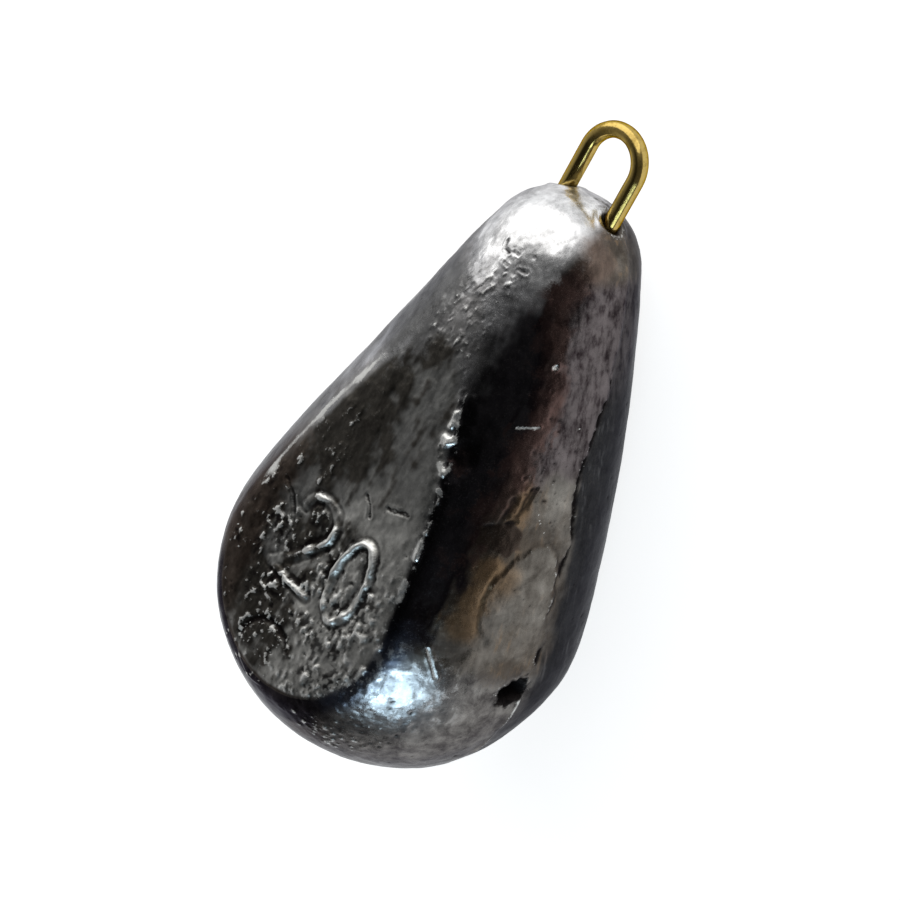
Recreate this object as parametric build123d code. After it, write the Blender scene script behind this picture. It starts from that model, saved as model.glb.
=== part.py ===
from build123d import *
import os
from math import acos, asin, atan2, cos, degrees, hypot, pi, radians, sin, tan

# Cast fishing sinker with a wire eye. Lengths in millimetres, angles in degrees.
# It is drawn upright: axis on Z, centre of the bulb at zero, eye on top, the mould's
# parting plane on XZ. At the end it is laid down on its rear flat.

# Casting outline: two spheres on the axis and a slightly bowed taper between them
bulb_radius = 10.5
crown_radius = 4.45
crown_height = 25.75  # top of the lead above the centre of the bulb
flank_bow = 0.45  # the middle of the flank stands this far out of a straight taper
flank_blend = 6.0  # softens the ring there

# The two moulded flats, front and rear
flat_reach = 8.4  # from the axis to a flat, level with the centre of the bulb
flat_tilt = 7.3  # each flat leans in towards the eye
flat_edge_radius = 0.45

# Fin of flash where the mould halves met
fin_height = 0.14
fin_width = 0.28

# Shrinkage pit at the gate, an oval hollow astride the parting line
pit_angle = 2.5  # above the widest ring of the bulb
pit_length = 2.5
pit_width = 1.5
pit_depth = 1.3
pit_floor_radius = 0.6

# Brass wire: bight, two legs and the splayed feet that anchor it in the lead
wire_diameter = 0.95
eye_radius = 1.83  # bight, to the centre of the wire
eye_rise = 2.17  # centre of the bight above the top of the lead
eye_shift = 0.17  # the wire was laid this far off the axis, along the parting plane
leg_depth = 6.5  # straight part of a leg below the top of the lead
foot_radius = 1.3
foot_splay = 25.0
foot_length = 3.0

overrun = 1.0  # cutters pass their faces by this much

crown_centre = crown_height - crown_radius


def half_outline(grow):
    # Half of the casting's outline on the parting plane, grown outwards by the same amount all round
    bulb, crown = bulb_radius + grow, crown_radius + grow
    taper = asin((bulb - crown) / crown_centre)
    ring_x = (bulb + crown) / 2 * cos(taper) + flank_bow * cos(taper)
    ring_z = ((bulb + crown) * sin(taper) + crown_centre) / 2 + flank_bow * sin(taper)
    bulb_end = degrees(atan2(ring_z, ring_x) - acos(bulb / hypot(ring_x, ring_z)))
    above = crown_centre - ring_z
    crown_start = degrees(acos(crown / hypot(ring_x, above)) - atan2(above, ring_x))
    bulb_arc = CenterArc((0, 0), bulb, -90, 90 + bulb_end)
    crown_arc = CenterArc((0, crown_centre), crown, crown_start, 90 - crown_start)
    lower = Line(bulb_arc @ 1, (ring_x, ring_z))
    upper = Line((ring_x, ring_z), crown_arc @ 0)
    axis = Line(crown_arc @ 1, bulb_arc @ 0)
    half = make_face([bulb_arc, lower, upper, crown_arc, axis])
    ring = half.vertices().sort_by_distance((ring_x, ring_z, 0))[0]
    return fillet(ring, flank_blend)


def flat_y(z):
    # Distance of a flat from the parting plane at this height
    return flat_reach - z * tan(radians(flat_tilt))


# Wire, from the tip of one foot over the bight to the tip of the other
bight_z = crown_height + eye_rise
leg_end = crown_height - leg_depth
splay = radians(foot_splay)
knee_out = eye_radius + foot_radius
heel_out = knee_out - foot_radius * cos(splay)
heel_z = leg_end - foot_radius * sin(splay)
toe_out = heel_out + foot_length * sin(splay)
toe_z = heel_z - foot_length * cos(splay)
wire_path = Plane.XZ * Wire(
    [
        Line((eye_shift - toe_out, toe_z), (eye_shift - heel_out, heel_z)),
        CenterArc((eye_shift - knee_out, leg_end), foot_radius, -foot_splay, foot_splay),
        Line((eye_shift - eye_radius, leg_end), (eye_shift - eye_radius, bight_z)),
        CenterArc((eye_shift, bight_z), eye_radius, 180, -180),
        Line((eye_shift + eye_radius, bight_z), (eye_shift + eye_radius, leg_end)),
        CenterArc((eye_shift + knee_out, leg_end), foot_radius, 180, foot_splay),
        Line((eye_shift + heel_out, heel_z), (eye_shift + toe_out, toe_z)),
    ]
)
wire_section = Plane(origin=wire_path @ 0, z_dir=wire_path % 0) * Circle(wire_diameter / 2)
wire = sweep(wire_section, path=wire_path)
print("wire volume over section times length", wire.volume / (pi * wire_diameter**2 / 4 * wire_path.length))

# Casting: turned form, cut to the wedge between the two flats, with their edges rounded
turned = revolve(Plane.XZ * half_outline(0), Axis.Z)
low, high = -bulb_radius - overrun, crown_height + overrun
wedge_side = Polyline(
    (flat_y(low), low), (flat_y(high), high), (-flat_y(high), high), (-flat_y(low), low), close=True
)
wedge = extrude(Plane.YZ * make_face(wedge_side), amount=bulb_radius + overrun, both=True)
casting = turned & wedge
flats = casting.faces().filter_by(GeomType.PLANE)
casting = fillet(flats.edges(), flat_edge_radius)

# Flash fin round the parting line
fin_half = Plane.XZ * half_outline(fin_height)
fin_face = fin_half + mirror(fin_half, about=Plane.YZ)
casting += extrude(fin_face, amount=fin_width / 2, both=True)

# Oval pit at the gate, a round-bottomed slot sunk from the skin towards the centre of the bulb
pit_out = Vector(cos(radians(pit_angle)), 0, sin(radians(pit_angle)))
pit_floor = Plane(origin=pit_out * (bulb_radius - pit_depth), x_dir=(-pit_out.Z, 0, pit_out.X), z_dir=pit_out)
pit = extrude(SlotOverall(pit_length, pit_width), amount=pit_depth + overrun)
pit = fillet(pit.faces().sort_by(Axis.Z)[0].edges(), pit_floor_radius)
casting -= pit_floor * pit

# The lead closes round the wire
lead = casting - wire

# Laid down on the rear flat, eye towards +X, origin on the floor under the middle of the part
tilt = radians(flat_tilt)
lying = Plane(
    origin=(0, 0, flat_reach * cos(tilt)), x_dir=(0, -1, 0), z_dir=(cos(tilt), 0, -sin(tilt))
)
lead = lying * lead
wire = lying * wire
box = Compound([lead, wire]).bounding_box()
middle = Pos(-box.center().X, 0, 0)
lead = middle * lead
wire = middle * wire

os.makedirs("parts", exist_ok=True)
export_step(lead, "parts/lead_body.step")
export_step(wire, "parts/wire_eye.step")
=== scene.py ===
import math

import bpy
import numpy as np
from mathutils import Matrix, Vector, noise


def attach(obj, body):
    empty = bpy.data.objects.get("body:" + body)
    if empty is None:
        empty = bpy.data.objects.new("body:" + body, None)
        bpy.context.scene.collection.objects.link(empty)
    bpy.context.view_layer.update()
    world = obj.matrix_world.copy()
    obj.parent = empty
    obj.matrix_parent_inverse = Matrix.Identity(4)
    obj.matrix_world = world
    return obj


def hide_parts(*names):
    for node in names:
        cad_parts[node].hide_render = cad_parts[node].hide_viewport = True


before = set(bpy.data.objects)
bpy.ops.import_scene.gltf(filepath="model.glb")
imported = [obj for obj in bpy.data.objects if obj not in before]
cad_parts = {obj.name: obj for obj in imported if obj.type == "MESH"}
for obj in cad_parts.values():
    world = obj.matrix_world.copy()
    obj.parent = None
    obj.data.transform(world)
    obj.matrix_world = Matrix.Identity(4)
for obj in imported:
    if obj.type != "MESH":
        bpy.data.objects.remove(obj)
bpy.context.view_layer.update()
print("frame loaded, nodes:", sorted(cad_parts))

mm = 0.001  # the shapes below are worked out in millimetres

# The sinker is shaped upright: axis on z, bulb centre at zero, front flat towards -y.
# Then it is laid on its rear flat, eye towards +x.
lying = {"tilt": 7.3, "bulbCentre": (-9.70616, 0.0, 8.33191)}


def layDown(points):
    t = math.radians(lying["tilt"])
    turn = np.array([[0, -math.sin(t), math.cos(t)], [-1, 0, 0], [0, -math.cos(t), -math.sin(t)]])
    return (points @ turn.T + np.array(lying["bulbCentre"])) * mm


def smooth(low, high, v):
    # soft step from 0 at low to 1 at high, which may be the smaller
    t = np.clip((v - low) / (high - low), 0.0, 1.0)
    return t * t * (3.0 - 2.0 * t)


def between(v, low, lowFull, highFull, high):
    # rises from low to lowFull and falls again from highFull to high
    return smooth(low, lowFull, v) * smooth(high, highFull, v)


def bump(v, width):
    return np.exp(-((v / width) ** 2))


def along(run, v):
    # value at v on a run of (place, value) pairs
    return np.interp(v, *zip(*run))


def lumps(points, size, octaves, seed):
    shift = Vector((seed * 17.3, seed * 9.1, seed * 5.7))
    return np.array(
        [noise.fractal(Vector(p) + shift, 1.0, 2.1, octaves, noise_basis="PERLIN_NEW") for p in points / size]
    )


def runOf(line):
    # length from the start of a line to each of its points
    return np.concatenate([[0], np.cumsum(np.linalg.norm(np.diff(line, axis=0), axis=1))])


def nearLine(points, line):
    # distance of every point to a run of straight pieces
    best = np.full(len(points), 1e9)
    for a, b in zip(line[:-1], line[1:]):
        a, b = np.array(a, float), np.array(b, float)
        share = np.clip((points - a) @ (b - a) / max((b - a) @ (b - a), 1e-9), 0.0, 1.0)
        best = np.minimum(best, np.linalg.norm(points - a - share[:, None] * (b - a), axis=1))
    return best


def ringOf(centre, halfWidth, halfHeight, start, stop, steps):
    angles = np.radians(np.linspace(start, stop, steps))
    return [(centre[0] + halfWidth * math.cos(a), centre[1] + halfHeight * math.sin(a)) for a in angles]


def rounded(line, times):
    # cuts the corners of a closed run of points
    line = np.array(line)
    for i in range(times):
        a, b = line[:-1], line[1:]
        line = np.stack([0.75 * a + 0.25 * b, 0.25 * a + 0.75 * b], 1).reshape(-1, 2)
        line = np.vstack([line, line[:1]])
    return line


def ringFaces(count, sides):
    # point numbers of rings laid side by side, their right neighbours, and the quads between the rings
    index = np.arange(count * sides).reshape(count, sides)
    right = np.roll(index, -1, 1)
    quads = np.stack([index[:-1], right[:-1], right[1:], index[1:]], -1).reshape(-1, 4)
    return index, right, quads.tolist()


def addObject(name, points, faces):
    mesh = bpy.data.meshes.new(name)
    mesh.from_pydata(points, [], faces)
    made = bpy.data.objects.new(name, mesh)
    bpy.context.scene.collection.objects.link(made)
    return made


# Lead casting

casting = {
    "bulbRadius": 10.5, "crownRadius": 4.452, "height": 25.77, "flankRadius": 122.85, "arcSteps": 3000,
    "flatReach": 8.4, "flatTilt": 7.3, "flatEdge": 0.75,
    "rows": 470, "columns": 420, "angleSteps": 7201, "frontShare": 1.35, "frontSpan": (-2.75, -2.45, 0.05, 0.35),
    "lean": 0.25, "leanBack": 0.21, "waist": 0.2,
    "finWidth": 0.13, "numberWidth": 0.23, "lapRadius": 10.2,
    "pitPlace": (-4.5, 0.5), "pitSize": (0.84, 1.14), "pitLean": -24, "pitWindow": 40,
    "discPlace": (-0.2, -4.15), "discRim": 1.97,
    "bowlPlace": (4.35, 12.4), "bowlSize": (0.9, 1.2, 1.5),
    "depth": {
        "lump": 0.06, "dimple": 0.026, "grain": 0.010, "flatStreak": 0.016, "flatDimple": 0.030, "flatGrain": 0.014,
        "crumb": 0.042, "crumbOnFlat": 0.050, "fin": 0.12, "halfStep": 0.07, "crack": 0.16,
        "pit": 1.3, "pitRim": 0.10, "lap": 0.03, "lapEdge": 0.06, "number": 0.22, "numberGutter": 0.05,
        "disc": 0.05, "discRim": 0.12, "tear": 0.30, "bowl": 0.16, "collar": 0.08, "collarHollow": 0.20,
        "dent": 0.030, "dentGrit": 0.020, "fuller": 0.18, "leaner": 0.15, "lip": 0.12,
    },
}
deep = casting["depth"]


def meridian(s):
    # outline from the bottom of the bulb to the top of the crown, as even steps of (radius, height)
    bulb, crown, flank = s["bulbRadius"], s["crownRadius"], s["flankRadius"]
    top = s["height"] - crown
    d1, d2 = flank - bulb, flank - crown
    midZ = (d1 * d1 - d2 * d2 + top * top) / (2 * top)
    midX = -math.sqrt(d1 * d1 - midZ * midZ)
    a0, a1 = math.atan2(-midZ, -midX), math.atan2(top - midZ, -midX)
    arcs = [
        (0, 0, bulb, -math.pi / 2, a0),
        (midX, midZ, flank, a0, a1),
        (0, top, crown, a1, math.pi / 2),
    ]
    line = []
    for centreX, centreZ, r, start, stop in arcs:
        a = np.linspace(start, stop, s["arcSteps"])
        line.append(np.stack([centreX + r * np.cos(a), centreZ + r * np.sin(a)], 1))
    line = np.concatenate(line)
    run = runOf(line)
    even = np.linspace(0, run[-1], s["rows"] + 2)[1:-1]
    return np.interp(even, run, line[:, 0]), np.interp(even, run, line[:, 1]), line


def columnAngles(s):
    # closer together on the front and the gate side, where the detail is
    a = np.linspace(-math.pi, math.pi, s["angleSteps"])
    share = 1.0 + s["frontShare"] * between(a, *s["frontSpan"])
    run = np.concatenate([[0], np.cumsum((share[1:] + share[:-1]) / 2)])
    return np.interp(np.linspace(0, run[-1], s["columns"] + 1)[:-1], run, a)


radius, height, outline = meridian(casting)
angles = columnAngles(casting)
rows, columns = len(radius), len(angles)
gridR, gridA = np.meshgrid(radius, angles, indexing="ij")
gridZ = np.repeat(height[:, None], columns, 1)
upwards = np.argsort(outline[:, 1])


def outlineRadius(level):
    return float(np.interp(level, outline[upwards, 1], outline[upwards, 0]))


def flatReach(level):
    return casting["flatReach"] - level * math.tan(math.radians(casting["flatTilt"]))


def onSide(turn, level):
    r = outlineRadius(level)
    return (r * math.cos(math.radians(turn)), r * math.sin(math.radians(turn)), level)


def onFront(sideways, level):
    r = outlineRadius(level)
    return (sideways, -min(math.sqrt(max(r * r - sideways * sideways, 0)), flatReach(level)), level)


def gridNormals(points):
    sideways = np.roll(points, -1, 1) - np.roll(points, 1, 1)
    up = np.empty_like(points)
    up[1:-1] = points[2:] - points[:-2]
    up[0], up[-1] = points[1] - points[0], points[-1] - points[-2]
    n = np.cross(sideways, up)
    return n / np.maximum(np.linalg.norm(n, axis=-1, keepdims=True), 1e-12)


# turned form, with the two flats blended into it
flatR = flatReach(gridZ) / np.maximum(np.abs(np.sin(gridA)), 1e-3)
soft = casting["flatEdge"]
blend = np.clip(0.5 + 0.5 * (flatR - gridR) / soft, 0, 1)
formR = flatR * (1 - blend) + gridR * blend - soft * blend * (1 - blend)
base = np.stack([formR * np.cos(gridA), formR * np.sin(gridA), gridZ], -1)

normals = gridNormals(base).reshape(-1, 3)
p = base.reshape(-1, 3)
x, y, z = p.T
phi = np.degrees(gridA.ravel())
turned = np.where(phi < 0, phi, phi - 360)  # runs on round the left side to the rear
cut = (gridR - flatR).ravel()  # above zero where a flat takes the round form away
front, gateSide = y < 0, x > 0
onFlat = smooth(-0.15, 0.25, cut) * front
onRear = smooth(-0.15, 0.25, cut) * (y > 0)
offFlat = 1 - onFlat
farOff = 9.0  # beyond the reach of every mark
print("casting form:", rows, "rows,", columns, "columns")

# skin noise: size, octaves, seed
big = lumps(p, 7.0, 3, 1)
middle = lumps(p, 1.6, 3, 2)
fine = lumps(p, 0.45, 2, 3)
broad = lumps(p, 3.2, 4, 4)
streaky = lumps(p * np.array([1.0, 1.0, 0.16]), 0.55, 3, 5)
ragged = lumps(p, 0.8, 3, 6)
finLumps = lumps(p, 1.9, 3, 7)
gritty = lumps(p * np.array([1.0, 1.0, 0.7]), 0.34, 2, 8)
print("skin noise ready")

# soft ovals on the skin: share, angle and its width, height and its width,
# then how far the broad noise strays the angle, and the broad and middle noise the height
ovals = {
    "crumbs": [(1.4, -57, 16, -6.0, 1.2), (0.5, -42, 18, -2.2, 2.2), (0.5, -24, 9, 12.0, 3.0)],
    "dents": [(1.0, -55, 12, -2.0, 2.5)],
    "leaner": [(1.0, 22, 25, -3.8, 2.5)],
    "coarse": [(0.5, -45, 14, -2.0, 2.5)],
    # left out of the darker lower bulb, so the painted highlight shows
    "highlightGap": [(0.9, -42, 17, -1.0, 2.6)],
    "blush": [(1.0, -26, 20, 24.0, 1.35, 6, 0.4, 0)],
    # lead painted bright where the bulb's highlight falls: a painted highlight
    "cleanAndHighlight": [(0.75, -41, 15, -0.5, 2.1, 5, 0.6, 0)],
    "rust": [(1.0, -47, 13, 22.0, 1.0, 5, 0.5, 0.3), (0.8, -33, 12, 23.2, 0.8, 5, 0.4, 0.3)],
    "goldOnLap": [(0.5, -23, 6.0, 7.0, 1.3, 3, 0, 0)],
    # partly a painted reflection of the cool lamp, partly blue tarnish
    "cold": [(1.0, -51, 8, 0.8, 2.6, 3, 0.5, 0), (0.8, -59, 7, -2.4, 1.6, 3, 0.5, 0)],
    "pane": [(1.0, -13, 8, 12.4, 2.4, 3, 0.6, 0)],
}


def spots(key):
    total = 0.0
    for share, angle, wide, level, tall, *stray in ovals[key]:
        turn, lift, shake = stray or (0, 0, 0)
        oval = bump(phi - angle + turn * broad, wide) * bump(z - level + lift * broad + shake * middle, tall)
        total = total + share * oval
    return total


# relief of the skin, hollows darkened with dirt and painted shade, and raised spots brightened as wear and painted
# highlights
sunk = np.zeros(len(p))
wearAndHighlight = np.zeros(len(p))
coarse = 0.35 + 0.5 * onFlat * smooth(7.5, 2.5, z) + 0.3 * smooth(15.5, 17.5, z) * smooth(-70, -85, phi)
coarse = np.clip(coarse, 0, 1)
skin = deep["lump"] * big + deep["dimple"] * middle * (0.5 + coarse)
skin += deep["grain"] * fine * (0.4 + 1.4 * coarse)
flatSkin = deep["flatStreak"] * streaky + deep["flatDimple"] * middle + deep["flatGrain"] * fine
skin += onFlat * flatSkin * (0.6 + 0.4 * smooth(2.5, -1.5, x))

# crumbs of slag and frozen wrinkles, brightened on top as wear and painted highlights and darkened between with
# dirt and painted shade
discX, discZ = casting["discPlace"]
discDist = np.where(front, np.hypot(x - discX, z - discZ) + 0.06 * ragged, farOff)
inNought = bump(np.hypot((x - 2.5) / 0.9, (z - 2.0) / 1.7), 1.0)
underCrown = smooth(16.2, 17.6, z + broad) * smooth(22.8, 21.5, z) * between(phi, -118, -106, -78, -66) * front
crumbShare = 0.9 * onFlat * smooth(6.5, 3.0, z + broad) + 0.55 * underCrown + spots("crumbs")
crumbShare += 0.45 * onFlat * smooth(-0.5, -2.5, x + 0.6 * broad) * smooth(14.0, 11.0, z)
crumbShare = np.clip(crumbShare, 0, 1) * smooth(-0.35, 0.35, middle + 0.5 * broad)
crumbShare = np.maximum(crumbShare, 0.8 * onFlat * inNought)
crumbShare *= 1 - 0.85 * smooth(2.15, 1.75, discDist)
crumb = smooth(0.12, 0.40, gritty)
skin += (deep["crumb"] + deep["crumbOnFlat"] * onFlat) * crumb * crumbShare
wearAndHighlight += (0.55 + 0.50 * onFlat) * crumb * crumbShare
sunk += (0.45 + 0.55 * onFlat) * smooth(-0.02, -0.28, gritty) * crumbShare

# mould halves: a fin of flash on the parting line, one half a little lower than the other
partingRun = [  # (height, angle)
    (-11, 0), (0, 0), (3.7, 1.5), (7.3, 0), (9.5, 1.5), (11.8, -1.5),
    (13.4, -3), (15, 0), (17.3, 4), (20, 6), (22, 8), (25.8, 11),
]
partY = np.where(gateSide, np.hypot(x, y) * np.sin(np.radians(along(partingRun, z))), 0)
across = y - partY
finShare = smooth(-0.35, 0.5, finLumps + np.where(z < 0.3, 0.25, -0.1))
finShare *= 1 - 0.85 * smooth(0.3, 2.0, z) * gateSide
skin += deep["fin"] * finShare * bump(across, casting["finWidth"])
skin -= deep["halfStep"] * smooth(-0.25, 0.30, across + 0.15 * middle)
# the fin is brightened low down, as wear and a painted highlight
wearAndHighlight += 0.6 * finShare * bump(across + 0.03, 0.10) * smooth(1.0, 0.0, z) * smooth(-0.2, 0.3, middle)

# crack along the parting line, darkened inside with dirt and painted shade
crackSpan = between(z, 6.5, 8.5, 17.0, 19.5) + between(z, 1.4, 2.0, 2.6, 3.6)
crackWide = 0.10 + 0.10 * smooth(-0.2, 0.4, middle)
crack = bump(across - 0.02 + 0.16 * ragged + 0.10 * middle, crackWide)
crack *= smooth(-0.1, 0.25, ragged + 0.15) * crackSpan * gateSide
skin -= deep["crack"] * crack
sunk += 1.3 * crack

# shrinkage pit at the gate, its inside painted near black: painted shade
pitAngle, pitLevel = casting["pitPlace"]
pitWide, pitTall = casting["pitSize"]
pitCos, pitSin = math.cos(math.radians(casting["pitLean"])), math.sin(math.radians(casting["pitLean"]))
u, v = np.radians(phi - pitAngle) * np.hypot(x, y), z - pitLevel
pitReach = np.hypot((u * pitCos + v * pitSin) / pitWide, (v * pitCos - u * pitSin) / pitTall)
pitReach = np.where(np.abs(phi) < casting["pitWindow"], pitReach + 0.30 * ragged + 0.18 * fine, farOff)
skin -= deep["pit"] * smooth(1.02, 0.45, pitReach) + deep["pitRim"] * smooth(1.7, 1.0, pitReach)
sunk += 1.5 * smooth(1.10, 0.92, pitReach)

# lap where the metal ran in and froze, a tongue beside the gate
tongue = [  # (angle, height)
    (-10.6, 9.4), (-19.6, 8.7), (-25.6, 7.4), (-28.0, 5.9), (-27.0, 4.5), (-20.6, 3.2),
    (-12.0, 2.7), (-3.3, 3.2), (-1.4, 4.4), (-0.7, 6.1), (-3.6, 8.5), (-10.6, 9.4),
]
tongueRun = rounded([(math.radians(a) * casting["lapRadius"], h) for a, h in tongue], 2)
unrolled = np.stack([np.radians(phi) * casting["lapRadius"], z], 1)
inside = np.zeros(len(p), bool)
for (ax, az), (bx, bz) in zip(tongueRun[:-1], tongueRun[1:]):
    crosses = (az > unrolled[:, 1]) != (bz > unrolled[:, 1])
    inside ^= crosses & (unrolled[:, 0] < (bx - ax) * (unrolled[:, 1] - az) / (bz - az + 1e-12) + ax)
tongueIn = nearLine(unrolled, tongueRun) * np.where(inside, 1, -1) + 0.20 * ragged + 0.10 * fine
lap = smooth(-0.15, 0.25, tongueIn)
lapEdge = 0.25 + 0.5 * smooth(-0.3, 0.3, broad + 0.4 * middle)  # how far the lap's border stands out
lapEdge *= 0.25 + 0.75 * smooth(4.2, 6.0, z + 0.5 * middle)
skin += deep["lap"] * lap + deep["lapEdge"] * lapEdge * (bump(tongueIn - 0.12, 0.14) - bump(tongueIn + 0.14, 0.14))
# the lap's border is darkened outside with dirt and painted shade, and brightened on its crest as wear and a
# painted highlight
sunk += 0.6 * lapEdge * bump(tongueIn + 0.12, 0.12)
wearAndHighlight += 0.22 * lapEdge * bump(tongueIn - 0.10, 0.10)

# raised size number on the front flat, a plain round-topped hand, its tops brightened as wear and painted
# highlights and its gutters darkened with dirt and painted shade
two = ringOf((-1.25, 4.15), 1.35, 1.30, 172, -38, 22) + [(-1.55, 1.55), (-2.85, 0.35), (-1.2, 0.32), (0.45, 0.30)]
nought = ringOf((2.50, 2.85), 1.12, 2.50, 0, 360, 48)
flatPoint = np.stack([x, z], 1)
numberDist = np.minimum(nearLine(flatPoint, two), nearLine(flatPoint, nought))
numberDist = np.where(front, numberDist, farOff) + 0.06 * ragged + 0.03 * fine
bead = np.clip(1 - (numberDist / casting["numberWidth"]) ** 2, 0, 1) ** 0.75
beadShare = 0.22 + 0.78 * smooth(-0.28, 0.22, 0.7 * broad + 0.6 * middle)
skin += deep["number"] * bead * beadShare - deep["numberGutter"] * bump(numberDist - 0.38, 0.14) * front
wearAndHighlight += 1.1 * smooth(0.45, 0.95, bead) * smooth(0.35, 0.9, beadShare)
sunk += (0.30 + 0.5 * smooth(0.0, 0.3, middle)) * bump(numberDist - 0.38, 0.16) * front

# round mark low on the flat, its rim groove darkened with dirt and painted shade
discSide = smooth(-4.8, -3.9, z) * smooth(1.6, 0.7, x)
discOff = discDist - casting["discRim"]
skin += deep["disc"] * smooth(1.88, 1.70, discDist) - deep["discRim"] * bump(discOff, 0.18) * discSide
sunk += 1.2 * bump(discOff, 0.20) * discSide

# torn spot on the right edge of the flat, brightened as wear and a painted highlight, with a shallow bowl beside it
tear = [(2.5, 15.3), (2.8, 14.4), (3.15, 13.4), (3.35, 12.5), (3.75, 11.6), (4.35, 10.7)]
tearDist = nearLine(p, [onFront(*mark) for mark in tear]) + 0.14 * ragged
tearWide = 0.24 + 0.24 * smooth(14.6, 12.6, z)
tearLumps = np.clip(0.5 + 1.2 * ragged + 0.5 * gritty, 0.05, 1.6) * (1 - 0.55 * smooth(12.8, 11.4, z))
skin += deep["tear"] * bump(tearDist, tearWide) * tearLumps
wearAndHighlight += 1.5 * smooth(1.5, 0.7, tearDist / tearWide) * smooth(0.15, 0.6, tearLumps)
bowlCentre = np.array(onFront(*casting["bowlPlace"]))
bowl = np.linalg.norm((p - bowlCentre) / np.array(casting["bowlSize"]), axis=1)
skin -= deep["bowl"] * smooth(1.1, 0.2, bowl + 0.12 * ragged)

# wrinkles under the crown and beside the lap, dashes and a hole on the flat, darkened inside with dirt and painted
# shade: marks, depth, width
grooves = [
    (onFront, [(-0.7, 22.7), (-0.5, 22.3), (-0.1, 22.3)], 0.05, 0.08),
    (onFront, [(0.1, 22.45), (0.5, 22.5)], 0.04, 0.07),
    (onFront, [(-0.2, 21.8), (0.3, 21.75)], 0.04, 0.07),
    (onFront, [(0.9, 21.9), (1.4, 22.05)], 0.04, 0.07),
    (onFront, [(2.15, 7.6), (2.9, 7.9), (3.5, 8.15)], 0.06, 0.08),
    (onFront, [(0.55, 7.3), (1.1, 7.0), (1.4, 6.5)], 0.06, 0.09),
    (onFront, [(-4.6, 4.6), (-3.7, 4.2), (-3.0, 3.5)], 0.08, 0.12),
    (onFront, [(2.5, 1.15), (2.65, 1.3)], 0.12, 0.20),
    (onSide, [(-33.0, 10.1), (-31.0, 10.8), (-30.5, 11.5)], 0.03, 0.13),
    (onSide, [(-27.2, 10.6), (-25.5, 11.2), (-23.7, 12.15)], 0.03, 0.13),
    (onSide, [(-37.4, 9.7), (-32.8, 10.0), (-26.5, 10.35)], 0.03, 0.12),
]
for where, marks, depth, width in grooves:
    d = nearLine(p, [where(*mark) for mark in marks]) + 0.14 * ragged
    skin += depth * (0.35 * bump(d - 2.0 * width, width) - bump(d, width))
    sunk += 0.8 * bump(d, width)

# bright nicks on the side, brightened as wear and painted highlights
nicks = [
    ([(-40.6, 14.98), (-31.0, 15.33)], 0.05, 0.06),
    ([(-38.9, 2.44), (-33.0, 0.94)], 0.06, 0.08),
    ([(-33.9, 18.4), (-33.2, 18.5)], 0.06, 0.10),
]
for marks, depth, width in nicks:
    d = nearLine(p, [onSide(*mark) for mark in marks])
    skin += depth * (0.7 * bump(d - 1.6 * width, width) - bump(d, width))
    wearAndHighlight += 1.2 * bump(d, 1.3 * width)

# fields of small spots: low angle, high angle, low height, high height, count, widest
gasPits = [
    (-118, -62, -5.0, 5.0, 110, 0.13),
    (-116, -74, 16.0, 21.5, 30, 0.08),
    (-58, -34, -5.5, -1.0, 50, 0.11),
    (-30, -4, 10.0, 16.0, 40, 0.11),
    (-180, 180, -9.0, 24.0, 160, 0.09),
]
brightSpecks = [
    (-72, -44, -6.8, -4.8, 30, 0.15),
    (-104, -74, 17.0, 21.5, 40, 0.10),
    (-112, -84, -6.2, -3.5, 28, 0.14),
    (-30, -6, 9.0, 16.0, 12, 0.05),
    (-64, -34, -5.0, 1.0, 14, 0.11),
    (-108, -72, -4.5, -0.5, 60, 0.10),
]


def scatter(fields, chance, narrowest):
    # for each spot the points round it, their distances and its width
    for lowA, highA, lowZ, highZ, count, widest in fields:
        for i in range(count):
            a, h = chance.uniform(lowA, highA), chance.uniform(lowZ, highZ)
            wide = widest * chance.uniform(narrowest, 1.0)
            nearRow = np.repeat(np.abs(height - h) < 4 * wide, columns)
            block = np.flatnonzero(nearRow & (np.abs(phi - a) < 8))
            if len(block) == 0:
                continue
            at = block[np.argmin(np.abs(z[block] - h) * 10 + np.abs(phi[block] - a))]
            yield block, np.linalg.norm(p[block] - p[at], axis=1), wide


# gas pits are darkened with dirt and painted shade; the bright specks are brightened as wear and painted highlights
chance = np.random.default_rng(20)
for block, d, wide in scatter(gasPits, chance, 0.45):
    skin[block] -= wide * chance.uniform(0.2, 0.6) * bump(d + 0.06 * ragged[block], wide)
    sunk[block] += 0.5 * bump(d, wide)
for block, d, wide in scatter(brightSpecks, np.random.default_rng(21), 0.4):
    d = d + 0.10 * ragged[block]
    skin[block] += 0.4 * wide * bump(d, wide)
    wearAndHighlight[block] += 1.1 * bump(d, 0.9 * wide)

# the lead is drawn down round the two legs of the wire, and darkened round them with dirt and painted shade
wire = {
    "diameter": 0.95, "eyeRadius": 1.83, "eyeCentre": 27.92, "shift": 0.17, "legEnd": 19.25,
    "footRadius": 1.3, "splay": 25.0, "footLength": 3.0, "lean": 0.062, "leanFrom": -5.0,
    "entryShift": -0.14, "sides": 40, "step": 0.06, "drawLines": 0.006, "flatten": 0.03,
}
for side in (-1, 1):
    legX = wire["shift"] + wire["entryShift"] + side * wire["eyeRadius"] - casting["lean"] + casting["leanBack"]
    d = np.where(z > 20, np.hypot(x - legX, y), farOff)
    skin += deep["collar"] * bump(d - 0.90, 0.22) - deep["collarHollow"] * smooth(0.75, 0.50, d)
    sunk += 0.9 * smooth(0.70, 0.54, d + 0.10 * ragged)

# small dents left of the bulb's highlight; the bulb is fuller low on the left and leaner beside the gate
skin += spots("dents") * offFlat * (deep["dent"] * fine + deep["dentGrit"] * gritty)
skin += deep["fuller"] * bump(turned + 155, 45) * bump(z + 5.0, 4.5) * offFlat * (1 - onRear)
skin -= deep["leaner"] * spots("leaner")

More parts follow.
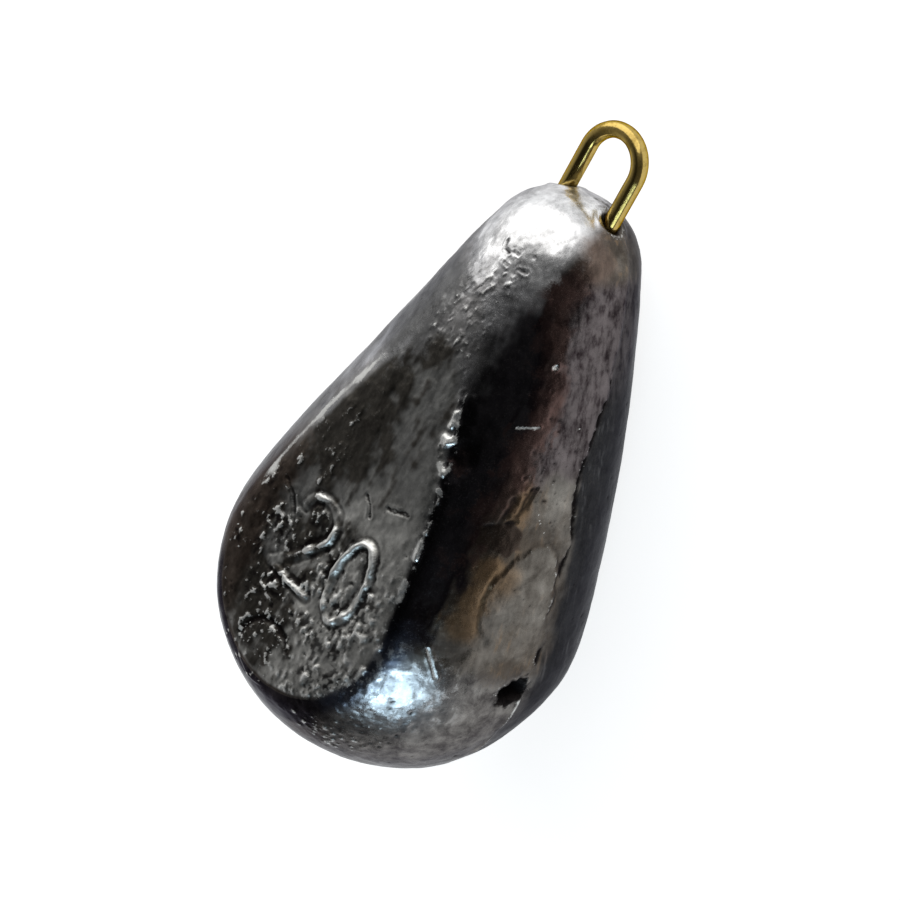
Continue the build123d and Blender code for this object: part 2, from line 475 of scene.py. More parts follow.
# broken bright lip on the right edge of the front flat, brightened as wear and a painted highlight
lip = smooth(0.02, 0.42, middle + 0.5 * broad + 0.4 * gritty + 0.35 * smooth(6.0, 4.0, z))
lip *= bump(cut + 0.02, 0.12) * between(z, -1.5, 0.5, 10.5, 12.0) * front * gateSide
wearAndHighlight += 0.7 * lip
skin += deep["lip"] * lip * np.clip(0.55 + 1.0 * ragged + 0.8 * gritty, 0.05, 1.5)

skin = np.where(onRear > 0.5, np.minimum(skin, 0.0) - 0.01, skin)  # nothing stands below the resting flat
print("casting detail done, deepest", round(float(skin.min()), 2), "highest", round(float(skin.max()), 2))

# the pour set a little out of true: the middle leans and is drawn in, the crown stands back over the axis
cast = p + normals * skin[:, None]
cast[:, 0] += casting["lean"] * smooth(2.0, 14.0, z) - casting["leanBack"] * smooth(15.0, 24.0, z)
cast[:, 0] -= casting["waist"] * x / np.maximum(gridR.ravel(), 1e-3) * bump(z - 12.5, 6.0)

# what stands out is brightened as wear and painted highlights, and what lies low is darkened with dirt and painted
# shade
relief = skin.reshape(rows, columns)
level = relief
for i in range(10):
    below, above = np.vstack([level[:1], level[:-1]]), np.vstack([level[1:], level[-1:]])
    level = (np.roll(level, 1, 1) + np.roll(level, -1, 1) + below + above) / 4
stands = (relief - level).ravel()
wearAndHighlight += 0.5 * smooth(0.010, 0.05, stands)
sunk += 0.5 * smooth(0.010, 0.06, -stands)

# edges of the flats, brightened in places as wear and painted highlights
flatEdge = bump(cut - 0.05, 0.20) * smooth(-0.2, 0.25, broad + 0.35 * middle)
wearAndHighlight += 0.75 * flatEdge * front * between(z, -4.5, -2.0, 10.5, 12.5)
wearAndHighlight += 0.8 * bump(cut + 0.22, 0.15) * front * (x < 0) * between(z, 2.5, 4.5, 12, 14.5)
leftStreaks = smooth(0.0, 0.4, streaky + 0.5 * middle) * between(z, 3, 5, 12, 15.5)
wearAndHighlight += 0.7 * bump(phi + 117, 12) * offFlat * leftStreaks
wearAndHighlight *= 1 - smooth(1.25, 1.02, pitReach)

# patina zones; the runs hold (height, angle), or the soft width in place of the angle
rightRun = [
    (2.8, -39), (4.3, -39), (6, -39), (8, -38), (10.2, -37),
    (13, -35), (15.1, -34), (17.7, -34), (20.1, -42), (22.1, -44.5),
]
leftRun = [(2, -90), (11, -90), (13, -72), (15.5, -63), (17, -60), (19, -58), (21, -56), (23, -54)]
leftSoftRun = [(12, 20), (16, 34)]
rearSoftRun = [(-11, 1.7), (4, 1.5), (9, 0.6), (13, 0.3)]
crownRun = [  # (angle, height)
    (-180, 24.4), (-150, 23.0), (-120, 21.5), (-90, 21.5), (-60, 22.2), (-42, 24.0),
    (-22, 25.7), (0, 26.1), (20, 26.2), (90, 25.6), (180, 24.4),
]

# black band right of the flat: a painted dark reflection; and the strip under the flat: painted shade
wander = 5 * broad + 3 * middle + 6 * streaky
fromBand = phi - along(rightRun, z)
band = smooth(6, -6, fromBand + wander)
band *= smooth(-1.0, 0.4, (phi - along(leftRun, z) + wander) / along(leftSoftRun, z))
band *= smooth(1.0, 3.2, z + 0.6 * broad) * smooth(23.0, 19.5, z + 0.8 * broad) * offFlat * front
under = smooth(-3.2, -0.9, cut + 0.5 * broad + 0.4 * middle) * smooth(-0.02, -0.14, cut)
under *= smooth(1.5, -4.5, z + 1.5 * broad + 0.6 * middle)
under *= smooth(-50, -66, phi + 4 * broad + 2 * middle) * front
band = np.maximum(band, under)

# gate side, warm below and purple above: tarnish tints kept dark as a painted dark reflection; and painted shade on
# the lead behind the parting line
warm = smooth(-12, -2, fromBand + wander) * smooth(3.0, 1.5, across) * smooth(0.6, 2.4, z + 0.5 * broad) * gateSide
purple = warm * smooth(10.5, 14.5, z + 1.2 * broad) * smooth(24.0, 22.0, z)
rearSoft = along(rearSoftRun, z)
rear = smooth(-0.4, 1.0, (across + 0.4 * middle * rearSoft + 0.2 * streaky) / rearSoft)
rear *= smooth(125, 50, phi + 22 * broad + 8 * middle) * (np.abs(phi) < 140)
rear *= 1 - 0.5 * smooth(16, 20, z + 0.8 * broad)

# bright crown and highlight: partly clean lead, partly a painted highlight; blush, stains, rust and gold
cleanAndHighlight = smooth(-1.8, 1.2, z - along(crownRun, phi) + 0.5 * broad + 0.4 * middle + 0.2 * streaky) * (1 - rear)
cleanAndHighlight += spots("cleanAndHighlight")
blush = spots("blush") * (y < 0.5)
stain = bump(fromBand + 4 * broad, 9.0) * between(z, 5, 9, 21, 23.5) * front * offFlat
stain += 1.1 * bump(np.hypot(phi + 41, (z - 22.0) * 7) + 5 * broad, 13.0) * front
stain += 0.8 * smooth(1.1, 0.3, bowl)
stain += 0.7 * smooth(-5.2, -6.2, x + 0.2 * broad) * onFlat * smooth(7.5, 5.0, z)
rust = spots("rust") * front
rust += 0.7 * bump(fromBand - 3 + 5 * broad + 4 * streaky, 7) * between(z, 9, 12, 20, 22) * front
gold = bump(phi + 31 + 3 * broad, 6.5) * (1 - 0.6 * lap) * between(z, 2.5, 4.0, 7.5, 9.0)
gold += lap * spots("goldOnLap")
gold += 0.8 * bump(phi + 28 + 4 * broad, 4.0) * between(z, 9.0, 10.5, 12.0, 13.0)

# dirt on the flat, thicker on its left and round some spots: share, place, reach
soilSpots = [(0.5, -3.2, -1.8, 2.2), (0.35, -0.2, -4.3, 1.9), (0.45, -0.2, 2.6, 3.2)]
slant = x - 0.30 * (z - 1)
soil = 0.35 * broad + 0.5 * middle + 0.35 * streaky + 0.3 * ragged - 0.55 * smooth(-2.0, 2.0, slant)
soil += 0.7 * smooth(1.5, -3.0, x) * smooth(4.5, 8.0, z) + 0.5 * smooth(1.0, -1.5, z) * smooth(3.2, 0.5, x)
for share, soilX, soilZ, reach in soilSpots:
    soil += share * bump(np.hypot(x - soilX, z - soilZ), reach)
dirt = onFlat * smooth(-0.5, 0.8, soil)
pale = onFlat * smooth(-4.0, 0.0, slant + 0.8 * broad) * smooth(9.5, 5.5, z + broad)

# lower bulb, left bright where the highlight is painted; brown painted shade on the left and low on the bulb, a
# dark scab above the lap, and the side that turns away
lower = smooth(3.4, 1.4, z + 0.8 * broad) * offFlat * (1 - spots("highlightGap"))
leftFade = smooth(-164, -128, phi + 16 * broad + 7 * middle) * front
leftShade = smooth(-3.0, -5.0, x + 0.6 * broad + 0.3 * middle) * smooth(-9.0, -6.0, z)
leftShade *= smooth(10.0, 2.8, z + 2.2 * broad + 0.9 * middle)
lowShade = smooth(-3.2, -5.0, z + 0.5 * broad) * smooth(-46, -64, phi + 4 * broad) * offFlat
lowShade *= smooth(-10.2, -8.5, z)
scabReach = np.hypot((phi + 29.5) / 8.5, (z - 9.35) / 0.95) + 0.25 * ragged + 0.15 * middle
scab = smooth(1.15, 0.85, scabReach) * front * (1 - lap)
shadeAndScab = np.maximum(0.9 * leftFade * np.maximum(leftShade, lowShade) * (1 - under), 0.95 * scab)
# blue tint round the bulb's highlight: partly a painted reflection of the cool lamp, partly blue tarnish
cold = spots("cold") * offFlat * front
flank = smooth(-92, -104, phi + 4 * broad) * smooth(12.5, 17.0, z + 1.6 * broad + 0.6 * middle)
flank *= smooth(22.2, 19.2, z + 0.5 * broad) * leftFade
away = smooth(-118, -152, turned + 14 * broad + 7 * middle) * smooth(-356, -330, turned)

# greyer, smoother lead on the lap and above it, and how grainy the skin is
pane = 0.5 * lap * smooth(-29, -17, phi) * smooth(3.2, 5.2, z) + spots("pane")
grainy = np.clip(0.15 + 0.7 * coarse + spots("coarse") - 0.3 * cleanAndHighlight, 0, 1) * (1 - 0.85 * band)
print("patina zones done")


def castingMesh(name, points, masks):
    # rows of quads closed at both ends by a fan
    index, right, faces = ringFaces(rows, columns)
    low, high = rows * columns, rows * columns + 1
    faces += [(low, int(b), int(a)) for a, b in zip(index[0], right[0])]
    faces += [(high, int(a), int(b)) for a, b in zip(index[-1], right[-1])]

    def withEnds(values):
        # each end takes the mean of its ring
        first, last = values[:columns].mean(0, keepdims=True), values[-columns:].mean(0, keepdims=True)
        return np.concatenate([values, first, last])

    made = addObject(name, layDown(withEnds(points)).tolist(), faces)
    mesh = made.data
    mesh.polygons.foreach_set("use_smooth", [True] * len(mesh.polygons))
    for key, values in masks.items():
        layer = mesh.attributes.new(key, "FLOAT", "POINT")
        layer.data.foreach_set("value", np.clip(withEnds(values), 0, 1).astype(np.float32))
    mesh.update()
    return made


leadBody = castingMesh("leadCasting", cast, {
    "band": band, "warm": warm, "flatSkin": onFlat, "rear": rear, "cleanAndHighlight": cleanAndHighlight, "stain": stain, "gold": gold,
    "dirt": dirt, "wearAndHighlight": wearAndHighlight, "sunk": sunk, "grainy": grainy, "purple": purple, "pale": pale,
    "lower": lower, "shadeAndScab": shadeAndScab, "flank": flank, "tongue": pane, "blush": blush, "cold": cold,
    "rust": rust, "away": away,
})
print("casting mesh:", len(leadBody.data.polygons), "faces")


# Brass wire

def wirePath(s):
    # from the toe of one foot over the bight to the other toe, in even steps
    splay = math.radians(s["splay"])
    foot, eye = s["footRadius"], s["eyeRadius"]
    knee = eye + foot
    heelX, heelZ = knee - foot * math.cos(splay), s["legEnd"] - foot * math.sin(splay)
    half = [(heelX + s["footLength"] * math.sin(splay), heelZ - s["footLength"] * math.cos(splay))]
    for a in np.linspace(splay, 0, 12):
        half.append((knee - foot * math.cos(a), s["legEnd"] - foot * math.sin(a)))
    for a in np.linspace(0, math.pi / 2, 60):
        half.append((eye * math.cos(a), s["eyeCentre"] + eye * math.sin(a)))
    half = np.array(half)
    line = np.vstack([half, (half * [-1, 1])[::-1][1:]])
    run = runOf(line)
    even = np.linspace(0, run[-1], int(run[-1] / s["step"]))
    up = np.interp(even, run, line[:, 1])
    sideways = np.interp(even, run, line[:, 0]) + s["shift"]
    return np.stack([sideways + s["lean"] * np.maximum(up - s["eyeCentre"], s["leanFrom"]), up], 1)


def sweepWire(name, s):
    line = wirePath(s)
    ahead = np.gradient(line, axis=0)
    ahead /= np.linalg.norm(ahead, axis=1, keepdims=True)
    out = np.stack([ahead[:, 1], -ahead[:, 0]], 1)
    turn = np.linspace(0, 2 * math.pi, s["sides"], endpoint=False)
    bend = smooth(s["eyeCentre"] - 0.6, s["eyeCentre"] + 0.6, line[:, 1])
    rings = []
    for i, (centre, side) in enumerate(zip(line, out)):
        lines = 0.5 * np.sin(turn * 7 + 0.02 * i) + np.sin(turn * 11 + 1.3)
        r = s["diameter"] / 2 + s["drawLines"] * lines
        squeeze = 1 - s["flatten"] * bend[i] * np.cos(turn) ** 2
        c, d = r * np.cos(turn) * squeeze, r * np.sin(turn)
        rings.append(np.stack([centre[0] + side[0] * c, d, centre[1] + side[1] * c], 1))
    index, right, faces = ringFaces(len(line), s["sides"])
    faces += [index[0][::-1].tolist(), index[-1].tolist()]
    made = addObject(name, layDown(np.concatenate(rings)).tolist(), faces)
    made.data.polygons.foreach_set("use_smooth", [len(f) == 4 for f in faces])
    made.data.update()
    return made


wireEye = sweepWire("wireEye", wire)
print("wire mesh:", len(wireEye.data.polygons), "faces")


# Shared finishes

def newGroup(name, inputs, outputs):
    # a place to look the effect up, the settings with their defaults, and the values it gives
    group = bpy.data.node_groups.new(name, "ShaderNodeTree")
    group.interface.new_socket(name="Vector", in_out="INPUT", socket_type="NodeSocketVector")
    for key, value in inputs.items():
        kind = "NodeSocketVector" if isinstance(value, tuple) else "NodeSocketFloat"
        group.interface.new_socket(name=key, in_out="INPUT", socket_type=kind).default_value = value
    for key in outputs:
        group.interface.new_socket(name=key, in_out="OUTPUT", socket_type="NodeSocketFloat")
    return group, group.nodes.new("NodeGroupInput").outputs, group.nodes.new("NodeGroupOutput").inputs


def addNode(tree, kind, values=None, links=None):
    made = tree.nodes.new(kind)
    for key, value in (values or {}).items():
        if hasattr(made, key):
            setattr(made, key, value)
        else:
            made.inputs[key].default_value = value
    for key, source in (links or {}).items():
        tree.links.new(source, made.inputs[key])
    return made


def addMath(tree, how, a, b):
    made = tree.nodes.new("ShaderNodeMath")
    made.operation = how
    for i, value in enumerate((a, b)):
        if isinstance(value, (int, float)):
            made.inputs[i].default_value = value
        else:
            tree.links.new(value, made.inputs[i])
    return made.outputs[0]


def addSum(tree, parts, start=0.0):
    # start plus each value times its share
    total = start
    for source, share in parts:
        total = addMath(tree, "ADD", addMath(tree, "MULTIPLY", source, share), total)
    return total


def addRamp(tree, value, low, high):
    made = tree.nodes.new("ShaderNodeMapRange")
    made.interpolation_type = "SMOOTHSTEP"
    made.inputs["From Min"].default_value, made.inputs["From Max"].default_value = low, high
    tree.links.new(value, made.inputs["Value"])
    return made.outputs["Result"]


def addMix(tree, share, a, b, how="MIX"):
    made = tree.nodes.new("ShaderNodeMix")
    made.data_type, made.blend_type = "RGBA", how
    for i, value in ((0, share), (6, a), (7, b)):
        if isinstance(value, (int, float)):
            made.inputs[i].default_value = value
        elif isinstance(value, tuple):
            made.inputs[i].default_value = (*value, 1.0)
        else:
            tree.links.new(value, made.inputs[i])
    return made.outputs[2]


def addNoise(tree, place, size, values):
    return addNode(tree, "ShaderNodeTexNoise", values, {"Vector": place, "Scale": size})


def makeTarnish():
    # cloudy patches with a finer broken edge
    group, give, take = newGroup(
        "tarnishClouds", {"Size": 300.0, "Detail": 6.0, "Spread": 0.5}, ("Mask", "Fleck", "Cloud"))
    cloud = addNoise(group, give["Vector"], give["Size"], {"Roughness": 0.62, "Distortion": 0.4})
    group.links.new(give["Detail"], cloud.inputs["Detail"])
    fleckSize = addMath(group, "MULTIPLY", give["Size"], 9.0)
    fleck = addNoise(group, give["Vector"], fleckSize, {"Roughness": 0.7, "Detail": 3.0})
    both = addSum(group, [(cloud.outputs["Fac"], 0.78), (fleck.outputs["Fac"], 0.22)])
    moved = addMath(group, "ADD", both, addMath(group, "SUBTRACT", give["Spread"], 0.5))
    group.links.new(addRamp(group, moved, 0.42, 0.58), take["Mask"])
    group.links.new(addRamp(group, fleck.outputs["Fac"], 0.50, 0.72), take["Fleck"])
    group.links.new(both, take["Cloud"])
    return group


def makeGrain():
    # small cast grain: rounded grains and pin pits
    group, give, take = newGroup("castGrain", {"Size": 3000.0, "Pits": 0.5}, ("Height",))
    grains = addNoise(group, give["Vector"], give["Size"], {"Detail": 4.0, "Roughness": 0.55})
    cells = addNode(group, "ShaderNodeTexVoronoi", {"feature": "F1", "Randomness": 1.0}, {
        "Vector": give["Vector"], "Scale": addMath(group, "MULTIPLY", give["Size"], 0.8)})
    hollow = addMath(group, "MULTIPLY", addRamp(group, cells.outputs["Distance"], 0.30, 0.05), give["Pits"])
    group.links.new(addMath(group, "SUBTRACT", grains.outputs["Fac"], hollow), take["Height"])
    return group


def makeHairLines():
    # long fine lines along one direction, broken up by clouds
    group, give, take = newGroup(
        "hairLines", {"Size": 2500.0, "Along": (0.05, 1.0, 1.0), "Amount": 0.5}, ("Mask", "Height"))
    drawn = addNode(group, "ShaderNodeVectorMath", {"operation": "MULTIPLY"})
    group.links.new(give["Vector"], drawn.inputs[0])
    group.links.new(give["Along"], drawn.inputs[1])
    line = addNoise(group, drawn.outputs[0], give["Size"], {"Detail": 3.0, "Roughness": 0.6}).outputs["Fac"]
    placeSize = addMath(group, "MULTIPLY", give["Size"], 0.12)
    place = addNoise(group, give["Vector"], placeSize, {"Detail": 2.0}).outputs["Fac"]
    mask = addMath(group, "MULTIPLY", addRamp(group, line, 0.52, 0.68), addRamp(group, place, 0.45, 0.6))
    group.links.new(addMath(group, "MULTIPLY", mask, give["Amount"]), take["Mask"])
    group.links.new(line, take["Height"])
    return group


tarnishClouds, castGrain, hairLines = makeTarnish(), makeGrain(), makeHairLines()
print("shared finishes ready")


def placeGroup(tree, group, place, values):
    made = tree.nodes.new("ShaderNodeGroup")
    made.node_tree = group
    tree.links.new(place, made.inputs["Vector"])
    for key, value in values.items():
        made.inputs[key].default_value = value
    return made.outputs


def newMaterial(name):
    made = bpy.data.materials.new(name)
    made.use_nodes = True
    tree = made.node_tree
    tree.nodes.clear()
    shader = tree.nodes.new("ShaderNodeBsdfPrincipled")
    out = tree.nodes.new("ShaderNodeOutputMaterial")
    tree.links.new(shader.outputs[0], out.inputs["Surface"])
    return made, tree, shader


def setBump(tree, shader, tall, strength, distance):
    made = addNode(tree, "ShaderNodeBump", {"Strength": strength, "Distance": distance}, {"Height": tall})
    tree.links.new(made.outputs["Normal"], shader.inputs["Normal"])


# Tarnished lead

leadFinish = {
    "fresh": (0.42, 0.42, 0.43), "dull": (0.27, 0.265, 0.265), "flat": (0.21, 0.21, 0.20),
    # the band colour below is a painted dark reflection
    "pale": (0.52, 0.515, 0.49), "dirt": (0.06, 0.055, 0.048), "band": (0.018, 0.015, 0.019),
    # warm and purple are tarnish tints kept dark as a painted dark reflection
    "warm": (0.145, 0.132, 0.117), "warmDark": (0.075, 0.062, 0.05), "tongue": (0.19, 0.18, 0.164),
    "purple": (0.098, 0.085, 0.086), "purpleDark": (0.03, 0.022, 0.024), "flank": (0.14, 0.14, 0.14),
    "stain": (0.06, 0.034, 0.03), "gold": (0.188, 0.122, 0.068), "rust": (0.12, 0.072, 0.062),
    # clean is partly clean lead, partly a painted highlight; cold is partly a painted reflection of the cool lamp
    "blush": (0.12, 0.088, 0.072), "cold": (0.045, 0.055, 0.085), "cleanAndHighlight": (0.64, 0.64, 0.645),
    "lower": (0.165, 0.156, 0.147), "lowerDark": (0.08, 0.073, 0.071),
    "awayLight": (0.21, 0.206, 0.2), "awayDark": (0.05, 0.047, 0.044),
    # the shade colour below is painted shade; its mask also holds a dark scab
    "shadeAndScab": (0.042, 0.031, 0.025), "shadeLight": (0.075, 0.06, 0.05),
    # the rear colour below is painted shade
    "rear": (0.026, 0.026, 0.027), "rearStreak": (0.065, 0.065, 0.067),
    # the first two colours below: dirt and painted shade for hollows, wear and painted highlights for raised spots
    "sunk": (0.010, 0.008, 0.008), "wearAndHighlight": (0.68, 0.68, 0.66), "edgeTint": (0.5, 0.5, 0.52),
    "clouds": {"Size": 230.0, "Detail": 7.0, "Spread": 0.5},
    "smallClouds": {"Size": 900.0, "Detail": 5.0, "Spread": 0.46},
    "grain": {"Size": 3600.0, "Pits": 0.3},
    "drag": {"Size": 2600.0, "Along": (0.07, 1.0, 1.0), "Amount": 0.8},
    "plain": ("flatSkin", "pale", "rear", "sunk", "grainy"),  # zones with a soft border
    "eaten": {  # zones whose border the small clouds eat: how far, and which of their values
        "dirt": (1.2, "Cloud"), "away": (0.5, "Cloud"), "lower": (0.5, "Cloud"), "warm": (0.4, "Mask"),
        "tongue": (0.8, "Cloud"), "purple": (0.6, "Cloud"), "flank": (0.4, "Mask"), "gold": (0.8, "Cloud"),
        "band": (0.5, "Cloud"), "cold": (0.8, "Cloud"), "stain": (0.7, "Mask"), "rust": (1.0, "Cloud"),
        "shadeAndScab": (0.8, "Cloud"), "cleanAndHighlight": (0.4, "Mask"), "blush": (0.8, "Cloud"), "wearAndHighlight": (0.5, "Fleck"),
    },
    "fleckShare": 0.30, "sunkShare": 0.96, "roughness": 0.22, "leastGrain": 0.12,
    "bumpDepth": 0.00003, "bumpStrength": 0.6, "bloom": 0.12,
}


def makeLead(s):
    made, tree, shader = newMaterial("tarnishedLead")
    place = tree.nodes.new("ShaderNodeTexCoord").outputs["Object"]
    clouds = placeGroup(tree, tarnishClouds, place, s["clouds"])
    small = placeGroup(tree, tarnishClouds, place, s["smallClouds"])
    grain = placeGroup(tree, castGrain, place, s["grain"])
    drag = placeGroup(tree, hairLines, place, s["drag"])

    def zone(key):
        return addNode(tree, "ShaderNodeAttribute", {"attribute_name": key}).outputs["Fac"]

    def eaten(key, amount, source):
        spread = zone(key)
        moved = addSum(tree, [(addMath(tree, "SUBTRACT", small[source], 0.5), amount)], spread)
        return addMath(tree, "MULTIPLY", addRamp(tree, moved, 0.15, 0.85), addRamp(tree, spread, 0.0, 0.15))

    def over(mask, share, under, tint):
        return addMix(tree, addMath(tree, "MULTIPLY", mask, share), under, tint)

    def twoTone(source, low, high, dark, light):
        return addMix(tree, addRamp(tree, source, low, high), s[dark], s[light])

    masks = {key: zone(key) for key in s["plain"]}
    masks.update({key: eaten(key, *border) for key, border in s["eaten"].items()})
    drawn = addSum(tree, [(drag["Height"], 0.6), (small["Cloud"], 0.4)])
    awaySkin = over(drag["Mask"], 0.6, twoTone(clouds["Cloud"], 0.36, 0.62, "awayDark", "awayLight"), s["warmDark"])
    warmSkin = over(drag["Mask"], 0.5, twoTone(clouds["Cloud"], 0.40, 0.62, "warmDark", "warm"), s["gold"])
    layers = [  # from the lead outwards
        ("flatSkin", 0.85, s["flat"]),
        ("pale", 0.8, s["pale"]),
        ("dirt", 1.0, s["dirt"]),
        ("away", 1.0, awaySkin),
        ("lower", 1.0, twoTone(small["Cloud"], 0.33, 0.63, "lowerDark", "lower")),
        ("warm", 1.0, warmSkin),
        ("tongue", 0.8, s["tongue"]),
        ("purple", 1.0, twoTone(drawn, 0.36, 0.56, "purpleDark", "purple")),
        ("flank", 1.0, s["flank"]),
        ("gold", 0.8, s["gold"]),
        ("band", 0.95, s["band"]),
        ("cold", 0.8, s["cold"]),
        ("stain", 0.6, s["stain"]),
        ("rust", 0.7, s["rust"]),
        ("shadeAndScab", 1.0, twoTone(clouds["Cloud"], 0.40, 0.62, "shadeAndScab", "shadeLight")),
        ("rear", 1.0, over(drag["Mask"], 0.8, s["rear"], s["rearStreak"])),
        ("cleanAndHighlight", 1.0, s["cleanAndHighlight"]),
        ("blush", 0.9, s["blush"]),
    ]
    colour = addMix(tree, clouds["Mask"], s["fresh"], s["dull"])
    for key, share, tint in layers:
        colour = over(masks[key], share, colour, tint)
    colour = over(small["Fleck"], s["fleckShare"], colour, s["dirt"])
    mottle = addSum(tree, [(small["Cloud"], 2.2), (drag["Height"], 0.8)], -0.5)
    colour = addMix(tree, 1.0, colour, mottle, "MULTIPLY")
    # hollows are darkened with dirt and painted shade, raised spots brightened as wear and painted highlights
    colour = over(masks["sunk"], s["sunkShare"], colour, s["sunk"])
    colour = addMix(tree, masks["wearAndHighlight"], colour, s["wearAndHighlight"])
    tree.links.new(colour, shader.inputs["Base Color"])

    rough = addSum(tree, [
        (clouds["Mask"], 0.07), (masks["flatSkin"], 0.08), (masks["band"], -0.05), (masks["rear"], 0.10),
        (masks["sunk"], 0.35), (small["Fleck"], 0.10), (masks["wearAndHighlight"], 0.06)], s["roughness"])
    tree.links.new(rough, shader.inputs["Roughness"])
    # raised spots are made less metallic too, so their painted highlight shows from every side
    tree.links.new(addSum(tree, [(masks["wearAndHighlight"], -s["bloom"])], 1.0), shader.inputs["Metallic"])
    shader.inputs["Specular Tint"].default_value = (*s["edgeTint"], 1.0)

    tall = addSum(tree, [(grain["Height"], 0.6), (drag["Height"], 0.5), (small["Fleck"], 0.15)])
    tall = addMath(tree, "MULTIPLY", tall, addMath(tree, "ADD", masks["grainy"], s["leastGrain"]))
    setBump(tree, shader, tall, s["bumpStrength"], s["bumpDepth"])
    return made


# Drawn brass

brassFinish = {
    "bright": (0.47, 0.34, 0.105), "worn": (0.17, 0.11, 0.022), "grime": (0.08, 0.045, 0.008),
    "edgeTint": (0.30, 0.22, 0.07), "roughness": 0.16, "bumpDepth": 0.00002, "bumpStrength": 0.3,
    "clouds": {"Size": 700.0, "Detail": 5.0, "Spread": 0.42},
    "grain": {"Size": 5200.0, "Pits": 0.3},
    "drag": {"Size": 4200.0, "Along": (0.06, 1.0, 1.0), "Amount": 0.9},
}


def makeBrass(s):
    made, tree, shader = newMaterial("drawnBrass")
    place = tree.nodes.new("ShaderNodeTexCoord").outputs["Object"]
    clouds = placeGroup(tree, tarnishClouds, place, s["clouds"])
    grain = placeGroup(tree, castGrain, place, s["grain"])
    drag = placeGroup(tree, hairLines, place, s["drag"])
    layers = ((clouds["Mask"], 0.55, "worn"), (clouds["Fleck"], 0.25, "grime"), (drag["Mask"], 0.3, "worn"))
    colour = s["bright"]
    for mask, share, tint in layers:
        colour = addMix(tree, addMath(tree, "MULTIPLY", mask, share), colour, s[tint])
    tree.links.new(colour, shader.inputs["Base Color"])
    rough = addSum(tree, [(clouds["Mask"], 0.10), (drag["Mask"], 0.08)], s["roughness"])
    tree.links.new(rough, shader.inputs["Roughness"])
    shader.inputs["Metallic"].default_value = 1.0
    shader.inputs["Specular Tint"].default_value = (*s["edgeTint"], 1.0)
    tall = addSum(tree, [(grain["Height"], 0.4)], drag["Height"])
    setBump(tree, shader, tall, s["bumpStrength"], s["bumpDepth"])
    return made


leadBody.data.materials.append(makeLead(leadFinish))
wireEye.data.materials.append(makeBrass(brassFinish))
for piece, node, slotName in ((leadBody, "lead_body", "tarnished_lead"), (wireEye, "wire_eye", "brass_wire")):
    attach(piece, "root")
    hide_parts(node)
print("materials placed")


# Floor, light and camera

studio = {
    "floorSize": 3.0, "floorSteps": 8, "floorColour": (0.6, 0.6, 0.6), "floorGlow": 0.80, "floorRoughness": 0.9,
    "sky": [(0.0, 0.95), (0.2, 0.85), (0.5, 0.50), (0.85, 0.25), (0.96, 0.05), (1.0, 0.04)],
    "brightSide": (0.45, 0.89, 0.0), "sideSpan": (-0.5, 0.4), "dimSide": 0.22,
    "key": {"from": (0.77, 0.45, 0.45), "reach": 0.34, "size": (0.72, 0.33),
            "shine": 1.55, "colour": (1.0, 0.99, 0.97)},
    "cool": {"from": (-0.57, -0.66, 0.50), "reach": 0.36, "size": (0.20, 0.13),
             "shine": 4.7, "colour": (0.62, 0.84, 1.0)},
    "camera": {"at": (0.086600, -0.085562, 0.114324), "turn": (-14.4959, 47.4570, -63.9106),
               "lens": 118.132, "sensor": 36.0, "clip": (0.005, 20.0)},
}


def makeFloor(s):
    steps = s["floorSteps"]
    line = np.linspace(-s["floorSize"] / 2, s["floorSize"] / 2, steps + 1)
    points = [(a, b, 0.0) for b in line for a in line]
    corners = [j * (steps + 1) + i for j in range(steps) for i in range(steps)]
    faces = [(c, c + 1, c + steps + 2, c + steps + 1) for c in corners]
    made = addObject("studioFloor", points, faces)
    finish, tree, shader = newMaterial("paleFloor")
    path = tree.nodes.new("ShaderNodeLightPath").outputs
    seen = addMath(tree, "MAXIMUM", path["Is Camera Ray"], path["Is Glossy Ray"])
    seen = addMath(tree, "MAXIMUM", seen, path["Is Transmission Ray"])
    tree.links.new(addMath(tree, "MULTIPLY", seen, s["floorGlow"]), shader.inputs["Emission Strength"])
    shader.inputs["Emission Color"].default_value = (1, 1, 1, 1)
    shader.inputs["Base Color"].default_value = (*s["floorColour"], 1)
    shader.inputs["Roughness"].default_value = s["floorRoughness"]
    shader.inputs["Specular IOR Level"].default_value = 0.0
    made.data.materials.append(finish)


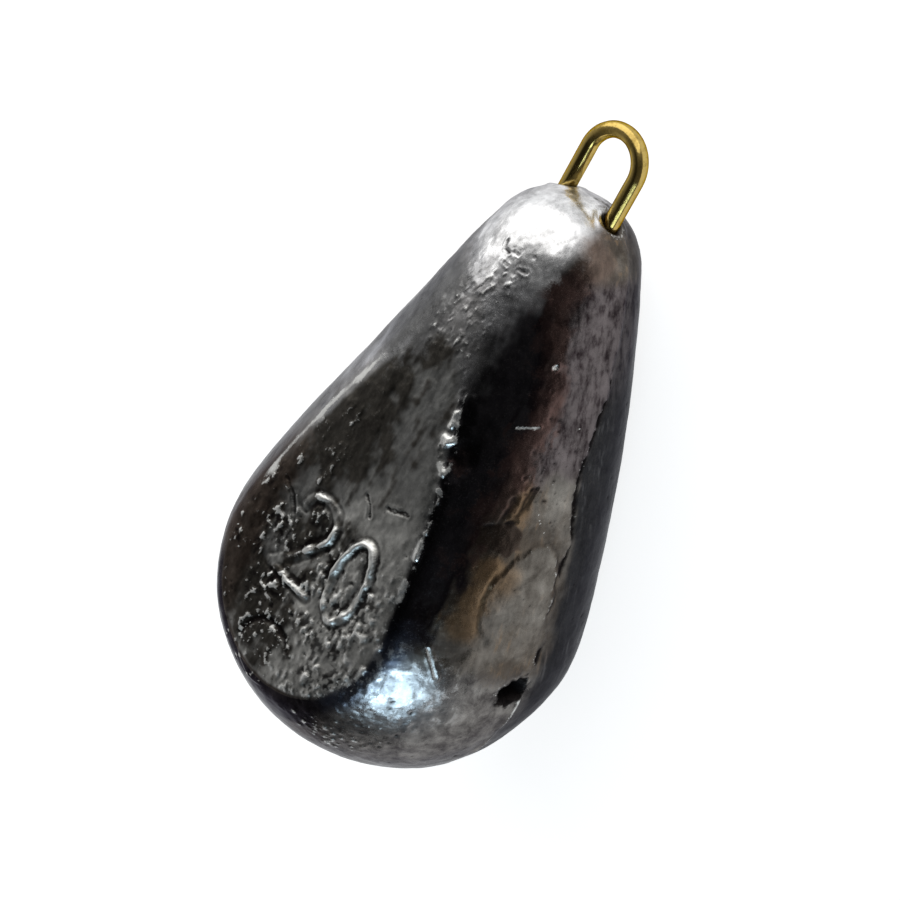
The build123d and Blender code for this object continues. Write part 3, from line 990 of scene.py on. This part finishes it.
def makeSky(s):
    # brighter near the floor than overhead, and dimmer on one side
    world = bpy.data.worlds.new("softStudio")
    bpy.context.scene.world = world
    world.use_nodes = True
    tree = world.node_tree
    tree.nodes.clear()
    place = tree.nodes.new("ShaderNodeTexCoord").outputs["Generated"]
    up = addNode(tree, "ShaderNodeSeparateXYZ", None, {0: place})
    ramp = addNode(tree, "ShaderNodeValToRGB", None, {"Fac": up.outputs["Z"]})
    ramp.color_ramp.interpolation = "EASE"
    marks = ramp.color_ramp.elements
    for i, (at, light) in enumerate(s["sky"]):
        mark = marks[i] if i < 2 else marks.new(at)
        mark.position, mark.color = at, (light, light, light, 1)
    side = addNode(tree, "ShaderNodeVectorMath", {"operation": "DOT_PRODUCT"}, {0: place})
    side.inputs[1].default_value = s["brightSide"]
    level = addRamp(tree, side.outputs["Value"], *s["sideSpan"])
    level.node.inputs["To Min"].default_value = s["dimSide"]
    glow = addNode(tree, "ShaderNodeBackground", None, {"Color": ramp.outputs["Color"], "Strength": level})
    addNode(tree, "ShaderNodeOutputWorld", None, {"Surface": glow.outputs[0]})


def softBox(name, s):
    wide, tall = s["size"]
    lamp = bpy.data.lights.new(name, "AREA")
    lamp.shape, lamp.size, lamp.size_y = "RECTANGLE", wide, tall
    lamp.energy = math.pi * wide * tall * s["shine"]
    lamp.color = s["colour"]
    made = bpy.data.objects.new(name, lamp)
    towards = Vector(s["from"]).normalized()
    made.location = towards * s["reach"]
    made.rotation_mode = "QUATERNION"
    made.rotation_quaternion = towards.to_track_quat("Z", "Y")
    bpy.context.scene.collection.objects.link(made)


def makeCamera(s):
    lens = bpy.data.cameras.new("photoCamera")
    lens.lens, lens.sensor_width = s["lens"], s["sensor"]
    lens.clip_start, lens.clip_end = s["clip"]
    made = bpy.data.objects.new("photoCamera", lens)
    made.location = s["at"]
    made.rotation_euler = [math.radians(a) for a in s["turn"]]
    bpy.context.scene.collection.objects.link(made)
    bpy.context.scene.camera = made


makeFloor(studio)
makeSky(studio)
softBox("keyBox", studio["key"])
softBox("coolBox", studio["cool"])
makeCamera(studio["camera"])
bpy.context.scene.view_settings.view_transform = "Standard"
print("studio ready")
